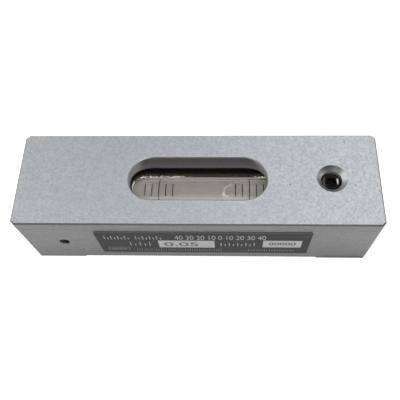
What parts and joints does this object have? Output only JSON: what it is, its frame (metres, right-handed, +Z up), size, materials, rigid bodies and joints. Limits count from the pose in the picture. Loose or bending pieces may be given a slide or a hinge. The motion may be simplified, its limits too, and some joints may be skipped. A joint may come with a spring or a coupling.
{
  "type": "pocket level",
  "caption": "Small bar level: a chamfered steel block with a rounded sight window over a graduated spirit vial, an adjusting screw at one end and a relieved base.",
  "frame": {"origin": "middle of the base, on the plane of the two feet", "axes": "+X along the block towards the adjusting screw, -Y towards the name plate, +Z up"},
  "size_m": [0.1, 0.0283, 0.025],
  "materials": {
    "plated_steel": "satin",
    "plug_steel": "satin",
    "plate_dark": "satin",
    "plate_pale": "satin",
    "ground_steel": "polished",
    "spring_steel": "satin",
    "blackened_steel": "satin",
    "turned_brass": "satin",
    "clear_glass": "gloss",
    "spirit": "gloss",
    "mark_ink": "matte",
    "plaster": "matte",
    "pale_card": "matte",
    "screw_black": "satin",
    "bubble_air": "gloss"
  },
  "bodies": {
    "block": {"body": "plated_steel", "bore_plug_left": "plug_steel", "bore_plug_right": "plug_steel", "name_plate": "plate_dark", "value_field": "plate_pale", "number_field": "plate_pale", "pivot_pin": "ground_steel", "adjusting_spring": "spring_steel"},
    "vial_carrier": {"vial_tube": "blackened_steel", "pivot_block": "turned_brass", "adjusting_block": "turned_brass", "vial_glass": "clear_glass", "vial_spirit": "spirit", "division_marks": "mark_ink", "plaster_left": "plaster", "plaster_right": "plaster", "backing_liner": "pale_card"},
    "screw": {"adjusting_screw": "screw_black"},
    "bubble": {"air_bubble": "bubble_air"}
  },
  "joints": [
    {"name": "vial_tilt", "type": "hinge", "parent": "block", "child": "vial_carrier", "pos_m": [-0.03835, 0, 0.0125], "axis": [0, -1, 0], "range_deg": [-0.3807, 0.3807], "stiffness_Nm_per_rad": 18.5, "springref_deg": 0.09, "deforming": ["adjusting_spring"]},
    {"name": "screw_turn", "type": "hinge", "parent": "vial_carrier", "child": "screw", "pos_m": [0.0369, 0, 0.0125], "axis": [0, 0, 1], "range_deg": [-360, 360]},
    {"name": "bubble_travel", "type": "slide", "parent": "vial_carrier", "child": "bubble", "axis": [1, 0, 0], "range_m": [-0.0338, 0]}
  ],
  "couplings": [
    {"joint": "screw_turn", "follows": "vial_tilt", "ratio": 945.6}
  ]
}
